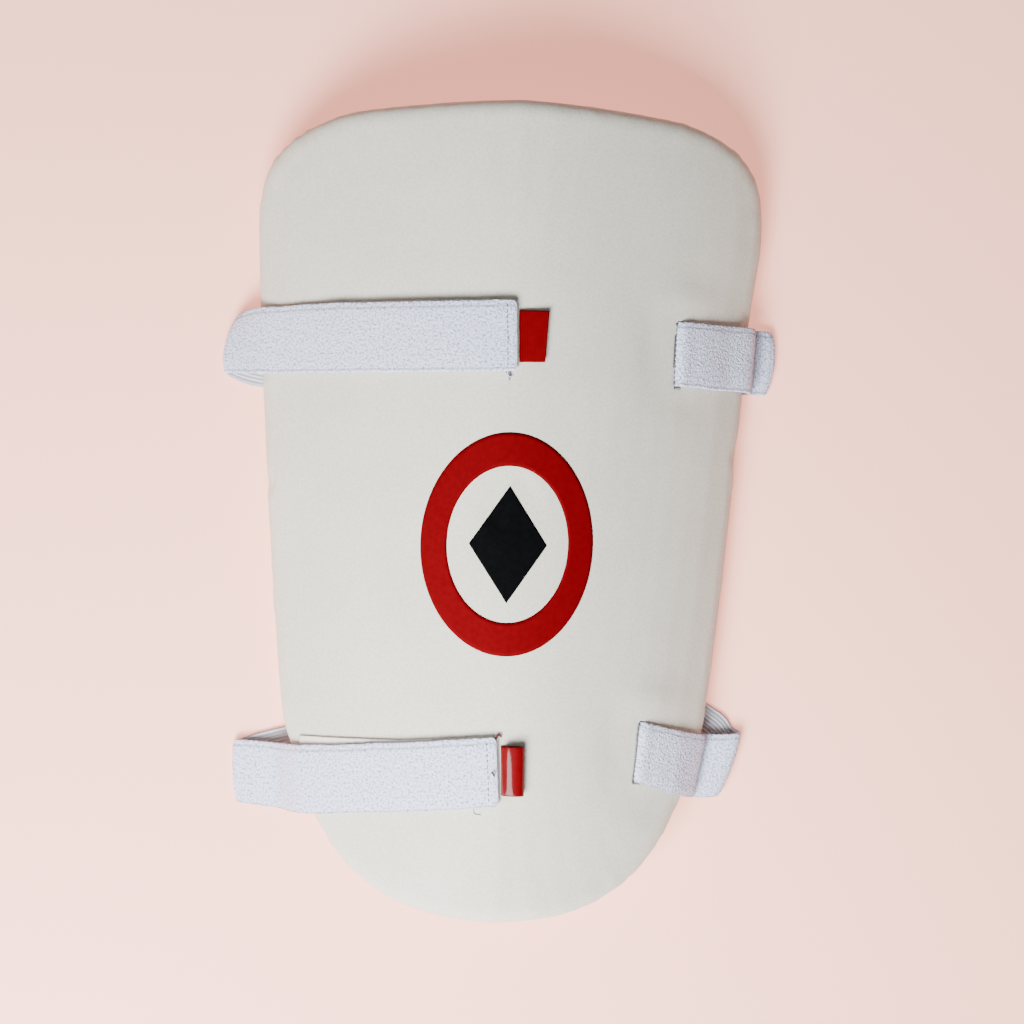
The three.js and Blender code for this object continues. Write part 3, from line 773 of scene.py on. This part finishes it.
# %% [markdown]
# ## The rim
# The solid's outline is a chain of straight facets, and a soft rim shows none. The corners of
# the chain lie on the true line, so a smooth line through them says how far each facet falls
# short, and the points near the rim are moved out by that much. The real pad isn't quite even
# either: its shoulder on the side of the strap roots stands a few millimetres further out.

# %% Round the rim and set the shoulder
RIM_REACH = 25
SHOULDER_X, SHOULDER_Y, SHOULDER_SPREAD = 98, 160, 30
SHOULDER_CORNER, SHOULDER_OUT, TOP_UP = 1.5, 1.8, 0.8
solid_places = [((vert.co - PAD_ORIGIN) / MM).to_2d() for vert in pad_mesh.vertices]
rim = [solid_places[k] for k in geometry.convex_hull_2d(solid_places)]
corner_tree = KDTree(len(rim))
for k, corner in enumerate(rim):
    corner_tree.insert(corner.to_3d(), k)
corner_tree.balance()


def rounding(place):
    """The move that takes a place beside a straight facet of the rim onto the smooth outline."""
    _, nearest, _ = corner_tree.find(place.to_3d())
    moves = []
    for k in (nearest - 1, nearest):
        a, b, c, d = (rim[(k + step) % len(rim)] for step in (-1, 0, 1, 2))
        share = min(max((place - b).dot(c - b) / (c - b).length_squared, 0), 1)
        foot = b.lerp(c, share)
        square = Vector((c.y - b.y, b.x - c.x)).normalized()
        fall = (smooth_line([a, b, c, d], [(1 + share) / 3])[0] - foot).dot(square)
        moves.append(((foot - place).length, square * fall))
    away, move = min(moves, key=lambda one: one[0])
    return move * max(1 - away / RIM_REACH, 0)


def ease(value, low, high):
    """A soft step from 0 at low to 1 at high."""
    share = min(max((value - low) / (high - low), 0), 1)
    return share * share * (3 - 2 * share)


def shoulder(x, y):
    """How far the top edge and the shoulder beside the strap roots stand out."""
    away_x, away_y = (x - SHOULDER_X) / SHOULDER_SPREAD, (y - SHOULDER_Y) / SHOULDER_SPREAD
    corner = SHOULDER_CORNER * math.exp(-(away_x**2) - away_y**2)
    out = SHOULDER_OUT * ease(x, 40, 105) * ease(y, 95, 130)
    up = ease(y, 120, 185) * (TOP_UP + ease(x, -30, 60))
    return Vector((out + corner, up + corner))


largest = 0
for vert in pad.data.vertices:
    place = ((vert.co - PAD_ORIGIN) / MM).to_2d()
    move = rounding(place)
    largest = max(largest, move.length)
    vert.co += (move + shoulder(*place)).to_3d() * MM
print(len(rim), "rim corners, rounded by up to", round(largest, 2), "mm")

# %% Puff the facing
PUFF_FRAMES = 20
rest = np.zeros(len(pad.data.vertices) * 3)
pad.data.vertices.foreach_get("co", rest)
cloth = pad.modifiers.new("cloth", "CLOTH")
cloth.settings.quality = 6
cloth.settings.mass = 0.4
cloth.settings.use_pressure = True
cloth.settings.uniform_pressure_force = 4
cloth.settings.tension_stiffness = 40
cloth.settings.compression_stiffness = 40
cloth.settings.bending_stiffness = 20
cloth.settings.effector_weights.gravity = 0
cloth.collision_settings.use_collision = False
for step in range(1, PUFF_FRAMES + 1):
    bpy.context.scene.frame_set(step)
pad.data = applied(pad)
bpy.context.scene.frame_set(1)
now = np.zeros_like(rest)
pad.data.vertices.foreach_get("co", now)
move = (now - rest).reshape(-1, 3)
furthest = np.linalg.norm(move, axis=1).max() / MM
print("the cloth moved by up to", round(furthest, 2), "mm before the cap")
normals = np.zeros_like(rest)
pad.data.vertices.foreach_get("normal", normals)
normals = normals.reshape(-1, 3)
swell = np.clip((move * normals).sum(axis=1), 0, CAP)
pad.data.vertices.foreach_set("co", (rest.reshape(-1, 3) + normals * swell[:, None]).ravel())
pad.data.update()
print("and by", round(swell.mean() / MM, 2), "mm on average after it")

# %% [markdown]
# ## Dents and the slits
# Where a strap root is sewn in, the thread pulls the facing down beside the slit and pushes it
# up just above. Soft round moves of the points give that. Then one subdivision makes the faces
# fine, and a cutter in the shape of the strap root opens each slit.

# %% Dent the facing and cut the slits
FLOOR_CLEARANCE = 0.1 * MM
SLIT_CLEARANCE, CUTTER_GRID = 0.35, (24, 8)
FRONT_SLOPE = 0.2
DENTS = [
    {"x": 68, "y": 77, "reach_x": 9, "reach_y": 20, "depth": 1.1},
    {"x": 84, "y": 103, "reach_x": 14, "reach_y": 8, "depth": -1.2},
    {"x": 84, "y": 54, "reach_x": 12, "reach_y": 7, "depth": 0.6},
    {"x": 55, "y": -110, "reach_x": 9, "reach_y": 18, "depth": 1.1},
    {"x": 74, "y": -87, "reach_x": 14, "reach_y": 8, "depth": -1.2},
    {"x": 70, "y": -137, "reach_x": 12, "reach_y": 8, "depth": 0.6},
    {"x": -30, "y": 80, "reach_x": 40, "reach_y": 20, "depth": 0.5},
    {"x": -34, "y": -120, "reach_x": 38, "reach_y": 20, "depth": 0.5},
]
WAVES = [{"size": 40, "height": 0.16}, {"size": 15, "height": 0.05}]
bm = bmesh.new()
bm.from_mesh(pad.data)
bm.normal_update()
for vert in bm.verts:
    local = (vert.co - PAD_ORIGIN) / MM
    push = sum(noise.noise(local / wave["size"]) * wave["height"] for wave in WAVES)
    if vert.normal.z > FRONT_SLOPE:
        for dent in DENTS:
            away_x = (local.x - dent["x"]) / dent["reach_x"]
            away_y = (local.y - dent["y"]) / dent["reach_y"]
            push -= dent["depth"] * math.exp(-(away_x**2 + away_y**2))
    vert.co += vert.normal * push * MM
bmesh.ops.subdivide_edges(bm, edges=bm.edges, cuts=1, use_grid_fill=True, smooth=0.6)
for vert in bm.verts:
    vert.co.z = max(vert.co.z, FLOOR_CLEARANCE)
bm.to_mesh(pad.data)
bm.free()
pad.data.shade_smooth()

cutters = bpy.data.objects.new("slit_cutters", bpy.data.meshes.new("slit_cutters"))
bm = bmesh.new()
for rows in (UPPER_RIGHT, LOWER_RIGHT):
    opening = STRAP_THICKNESS + 2 * SLIT_CLEARANCE
    bm.from_mesh(band_mesh("slit_cutter", slit_rows(rows, 0), opening, CUTTER_GRID))
bm.to_mesh(cutters.data)
bm.free()
bpy.context.scene.collection.objects.link(cutters)
cut = pad.modifiers.new("cut", "BOOLEAN")
cut.operation = "DIFFERENCE"
cut.solver = "EXACT"
cut.object = cutters
pad_mesh = applied(pad)
bpy.data.objects.remove(cutters)
bpy.data.objects.remove(pad)
pad = show("foam_pad", pad_mesh, facing, "pad_facing", "pad_shell")
pad_tree = tree_of(pad_mesh)
print("the finished pad has", len(pad_mesh.polygons), "faces")

# %% [markdown]
# ## The straps
# The webbing is modelled directly along its route, because a remesh would eat something so
# thin. Its edges are a little thinner than its middle and wander slightly, as woven edges do,
# its face is roughened by a nap, and the corners of its loose end are rounded.

# %% Lay the straps
STRAP_GRID = (640, 32)
STRAP_FINISH = {"crown": 0.45, "ripple": 0.4, "nap": 0.14, "corner": 2.4}
STRAPS = [
    {"name": "upper_elastic_strap", "route": upper_route, "node": "upper_strap", "seed": 3.1},
    {"name": "lower_elastic_strap", "route": lower_route, "node": "lower_strap", "seed": 8.7},
]
straps = {}
for strap in STRAPS:
    name = strap["name"]
    settings = STRAP_FINISH | {"seed": strap["seed"]}
    mesh = band_mesh(name, strap["route"], STRAP_THICKNESS, STRAP_GRID, **settings)
    straps[name] = show(name, mesh, elastic, "elastic", strap["node"])

# %% [markdown]
# ## Hook tape and pull tabs
# A strip of cream hook tape is stitched under each strap end and grips the facing. A red tab
# is caught in the same seam: flat woven tape on the upper strap, and a shiny rolled loop on the
# lower one. They are short bands on the pad, so the same builder makes them, and a point that
# is too near to the puffed facing is lifted clear of it.

# %% Tape and tabs
LIFT_REACH, LEAST_SLOPE, LEAST_HEIGHT = 6 * MM, 0.15, 12 * MM


def lift_clear(mesh, tree, clearance):
    """Lifts the points of a mesh that are nearer to the pad's front than the clearance."""
    moved = 0
    for vert in mesh.vertices:
        near, normal, _, _ = tree.find_nearest(vert.co, LIFT_REACH)
        if near is None:
            continue
        side = (vert.co - near).dot(normal)
        if side < clearance and normal.z > LEAST_SLOPE and vert.co.z > LEAST_HEIGHT:
            vert.co += normal * (clearance - side)
            moved += 1
    print(mesh.name, moved, "points lifted clear of the pad")


TAB_LIFT = 0.75
TAPE_CLEARANCE = 0.12 * MM
TAPES_AND_TABS = [
    {
        "name": "upper_hook_strip",
        "rows": [
            row(0.6, 97.4, 1.6, 66, lift=TAPE_LIFT),
            row(-38, 96.4, -38, 64.6, lift=TAPE_LIFT),
            row(-76, 95.2, -76, 63.8, lift=TAPE_LIFT),
        ],
        "thickness": TAPE_THICKNESS,
        "material": cream_tape,
        "slot": "hook_tape",
        "node": "upper_hook_tape",
        "grid": (90, 26),
    },
    {
        "name": "lower_hook_strip",
        "rows": [
            row(-1.6, -103, 0.2, -134, lift=TAPE_LIFT),
            row(-46, -107.3, -44, -138, lift=TAPE_LIFT),
            row(-93, -109, -88, -140, lift=TAPE_LIFT),
        ],
        "thickness": TAPE_THICKNESS,
        "material": cream_tape,
        "slot": "hook_tape",
        "node": "lower_hook_tape",
        "grid": (100, 26),
    },
    {
        "name": "upper_red_tab",
        "rows": [
            row(1.4, 92.4, 2.2, 68.6, lift=TAB_LIFT),
            row(8.2, 92.5, 8.2, 68.8, lift=TAB_LIFT + 0.5),
            row(15.3, 92.5, 14.1, 69, lift=TAB_LIFT + 1.4),
        ],
        "thickness": 0.9,
        "material": red_cloth,
        "slot": "red_cloth",
        "node": "upper_pull_tab",
        "grid": (24, 20),
    },
    {
        "name": "lower_red_tab",
        "rows": [
            row(-0.2, -107.8, 0.8, -130.7, lift=0.65),
            row(5.4, -107.8, 6, -130.7, lift=0.65),
            row(9.4, -107.8, 9.8, -130.7, lift=1.7),
            row(10.4, -107.8, 10.8, -130.7, lift=3.5),
            row(9, -107.8, 9.4, -130.7, lift=5.2),
            row(6.8, -107.8, 7.2, -130.7, lift=5.6),
            row(3.8, -107.8, 4.2, -130.7, lift=5),
            row(0.4, -107.8, 1.2, -130.7, lift=3.8),
        ],
        "thickness": 0.7,
        "material": red_gloss,
        "slot": "red_gloss",
        "node": "lower_pull_tab",
        "grid": (60, 20),
    },
]
for piece in TAPES_AND_TABS:
    mesh = band_mesh(piece["name"], piece["rows"], piece["thickness"], piece["grid"], crown=0.3)
    lift_clear(mesh, pad_tree, TAPE_CLEARANCE)
    show(piece["name"], mesh, piece["material"], piece["slot"], piece["node"])

# %% [markdown]
# ## Stitches and loose threads
# A short seam holds each hem, and a row of stitches in grey thread, with a fatter one at each
# end, runs along the mouth of each slit. That row's dark grey and its fat end stitches are partly
# painted shade of the gap in the slit. Where a mouth lies is read from the finished pad and
# strap. Every stitch is a stretched ball laid along its row and dropped onto the cloth. The few
# loose thread ends that hang from the hems are thin round strands along a smooth line.

# %% Sew the rows
ABOVE_ALL = 200
strap_trees = {name: tree_of(piece.data) for name, piece in straps.items()}


def dropped(x, y, tree):
    """The place and the normal on a surface straight below a plan place."""
    place, normal, _, _ = tree.ray_cast(in_frame(x, y, ABOVE_ALL), Vector((0, 0, -1)))
    return place, normal


def stitch_row(name, row_of, tree, material, slot):
    """A row of stitches, each turned along the row; tack fattens the two at its ends."""
    start, end = Vector(row_of["start"]), Vector(row_of["end"])
    count = round((end - start).length / row_of["pitch"])
    bm = bmesh.new()
    for k in range(count):
        middle = start.lerp(end, (k + 0.5) / count)
        place, normal = dropped(middle.x, middle.y, tree)
        along = (end - start).normalized()
        along = Vector((along.x, along.y, 0))
        along = (along - normal * along.dot(normal)).normalized()
        turn = Matrix((along, normal.cross(along), normal)).transposed().to_4x4()
        fat = row_of["radius"] * (row_of["tack"] if k in (0, count - 1) else 1)
        size = Matrix.Diagonal((row_of["length"] / 2, fat, fat, 1 / MM)) * MM
        put = Matrix.Translation(place + normal * row_of["lift"] * MM) @ turn @ size
        bmesh.ops.create_uvsphere(bm, u_segments=10, v_segments=6, radius=1, matrix=put)
    print(name, "has", count, "stitches")
    return show(name, smooth_mesh(name, bm), material, slot)


SEAMS = {
    "upper_hem_seam": {"start": (-4.3, 95.3), "end": (-3.1, 66), "on": "upper_elastic_strap"},
    "lower_hem_seam": {"start": (-7, -105.6), "end": (-5, -134.2), "on": "lower_elastic_strap"},
}
for name, seam in SEAMS.items():
    seam |= {"pitch": 2.5, "length": 1.9, "radius": 0.24, "lift": 0.05, "tack": 1}
    stitch_row(name, seam, strap_trees[seam["on"]], grey_thread_and_shade, "elastic")


# %% Sew the strap roots
SEARCH_LENGTH, STEPS_PER_MM = 30, 5


def slit_mouth(y, from_x, strap_tree):
    """The first place along x where the strap shows above the facing."""
    steps = (from_x + k / STEPS_PER_MM for k in range(SEARCH_LENGTH * STEPS_PER_MM))
    found = ((x, dropped(x, y, strap_tree)[0], dropped(x, y, pad_tree)[0]) for x in steps)
    return next(x for x, webbing, cloth in found if webbing and webbing.z > cloth.z)


# Each mouth row is real stitching, and its dark grey, with fatter stitches at both ends, is partly
# painted shade of the gap in the slit.
ROOTS = {
    "upper_root_seam": {"top_y": 90, "low_y": 63.6, "from_x": 71, "on": "upper_elastic_strap"},
    "lower_root_seam": {"top_y": -99, "low_y": -125.4, "from_x": 60, "on": "lower_elastic_strap"},
}
BESIDE_MOUTH, PAST_MOUTH = 0.4, 1.7
for name, root in ROOTS.items():
    tree = strap_trees[root["on"]]
    start, end = (
        Vector((slit_mouth(root[side], root["from_x"], tree) - BESIDE_MOUTH, root[side]))
        for side in ("top_y", "low_y")
    )
    beyond = (end - start).normalized() * PAST_MOUTH
    seam = {"start": start - beyond, "end": end + beyond, "pitch": 2.4, "length": 1.9}
    seam |= {"radius": 0.3, "lift": 0.05, "tack": 1.8}
    stitch_row(name, seam, pad_tree, grey_thread_and_shade, "pad_facing")


# %% Loose threads
STRAND_CELLS = 16


def strand(name, points, radius, material, slot):
    """A round thread along a smooth line through points given as x, y and height off the pad."""
    knots = [in_frame(*on_pad(x, y, lift)) for x, y, lift in points]
    line = smooth_line(knots, [k / STRAND_CELLS for k in range(STRAND_CELLS + 1)])
    curve = bpy.data.curves.new(name, "CURVE")
    curve.dimensions = "3D"
    curve.bevel_depth = radius * MM
    curve.bevel_resolution = 2
    curve.use_fill_caps = True
    spline = curve.splines.new("POLY")
    spline.points.add(len(line) - 1)
    for knot, place in zip(spline.points, line):
        knot.co = (*place, 1)
    holder = bpy.data.objects.new(name, curve)
    bpy.context.scene.collection.objects.link(holder)
    graph = bpy.context.evaluated_depsgraph_get()
    mesh = bpy.data.meshes.new_from_object(holder.evaluated_get(graph))
    bpy.data.objects.remove(holder)
    return show(name, mesh, material, slot)


STRANDS = [
    (red_thread, 0.3, [(-3.8, 65, 0.9), (-2.9, 62.9, 0.8), (-1.9, 61.2, 0.6)]),
    (grey_thread_and_shade, 0.26, [(-2.6, 65, 1.1), (-1.6, 62.9, 0.9), (-2.1, 60.2, 0.6)]),
    (white_thread, 0.26, [(-3, 65, 1.3), (-2.7, 62.4, 1.2), (-0.9, 61.5, 1.0)]),
    (red_thread, 0.5, [(-2.8, -104.8, 1.6), (-1.6, -102.7, 1.4), (0, -103.5, 1.2)]),
    (white_thread, 0.25, [(-12.4, -136.6, 0.8), (-11.4, -139.9, 0.5), (-8.4, -140.6, 0.6)]),
    (dark_thread, 0.42, [(-4.2, -119.4, 5.3), (-3.6, -120.4, 5.6), (-2.9, -121.5, 5.3)]),
]
for number, (thread, radius, points) in enumerate(STRANDS, 1):
    strand("loose_strand_" + str(number), points, radius, thread, "elastic")
print(len(STRANDS), "loose strands")

# %% [markdown]
# ## The printed design
# The print is a plain oval ring in red with a black lozenge in it. The ring is two circles
# joined and subdivided, the lozenge is a turned grid, and both are stretched to size. Then
# every point drops straight down onto the finished pad, and a thin wall is added.

# %% Lay the prints on the pad
EMBLEM_CENTRE_Y = -15
RING_HALF_WIDTH, RING_HALF_LENGTH, RING_INNER_SHARE = 40, 51.5, 0.7
LOZENGE_HALF_WIDTH, LOZENGE_HALF_LENGTH = 18, 27
RING_SEGMENTS, RING_CUTS, LOZENGE_CELLS = 160, 7, 28
PRINT_LIFT, PRINT_THICKNESS = 0.16, 0.1


def drop_on_pad(bm, lift):
    """Moves every point straight down onto the finished pad and lifts it by a little."""
    for vert in bm.verts:
        above = Vector((vert.co.x, vert.co.y, ABOVE_ALL * MM))
        place, normal, _, _ = pad_tree.ray_cast(above, Vector((0, 0, -1)))
        vert.co = place + normal * lift


def finish_print(name, bm, material, slot, node):
    """Bends the flat print onto the pad, gives it a wall and shows it."""
    bmesh.ops.recalc_face_normals(bm, faces=bm.faces)
    drop_on_pad(bm, PRINT_LIFT * MM)
    upward = sum(face.normal.z for face in bm.faces)
    if upward < 0:
        bmesh.ops.reverse_faces(bm, faces=bm.faces)
    bmesh.ops.solidify(bm, geom=bm.faces[:], thickness=PRINT_THICKNESS * MM)
    bmesh.ops.recalc_face_normals(bm, faces=bm.faces)
    mesh = smooth_mesh(name, bm)
    print(name, "has", len(mesh.polygons), "faces")
    return show(name, mesh, material, slot, node)


bm = bmesh.new()
for radius in (RING_INNER_SHARE, 1):
    bmesh.ops.create_circle(bm, cap_ends=False, segments=RING_SEGMENTS, radius=radius)
bmesh.ops.bridge_loops(bm, edges=bm.edges[:])
spokes = [
    edge for edge in bm.edges if abs(edge.verts[0].co.length - edge.verts[1].co.length) > 0.1
]
bmesh.ops.subdivide_edges(bm, edges=spokes, cuts=RING_CUTS)
bmesh.ops.scale(bm, verts=bm.verts, vec=(RING_HALF_WIDTH * MM, RING_HALF_LENGTH * MM, 1))
bmesh.ops.translate(bm, verts=bm.verts, vec=in_frame(0, EMBLEM_CENTRE_Y, 0))
finish_print("red_ring_print", bm, red_ink, "red_print", "emblem_ring")

bm = bmesh.new()
bmesh.ops.create_grid(bm, x_segments=LOZENGE_CELLS, y_segments=LOZENGE_CELLS, size=math.sqrt(0.5))
eighth_turn = Matrix.Rotation(math.radians(45), 3, "Z")
bmesh.ops.rotate(bm, verts=bm.verts, cent=(0, 0, 0), matrix=eighth_turn)
bmesh.ops.scale(bm, verts=bm.verts, vec=(LOZENGE_HALF_WIDTH * MM, LOZENGE_HALF_LENGTH * MM, 1))
bmesh.ops.translate(bm, verts=bm.verts, vec=in_frame(0, EMBLEM_CENTRE_Y, 0))
finish_print("black_lozenge_print", bm, black_ink, "black_print", "emblem_lozenge")
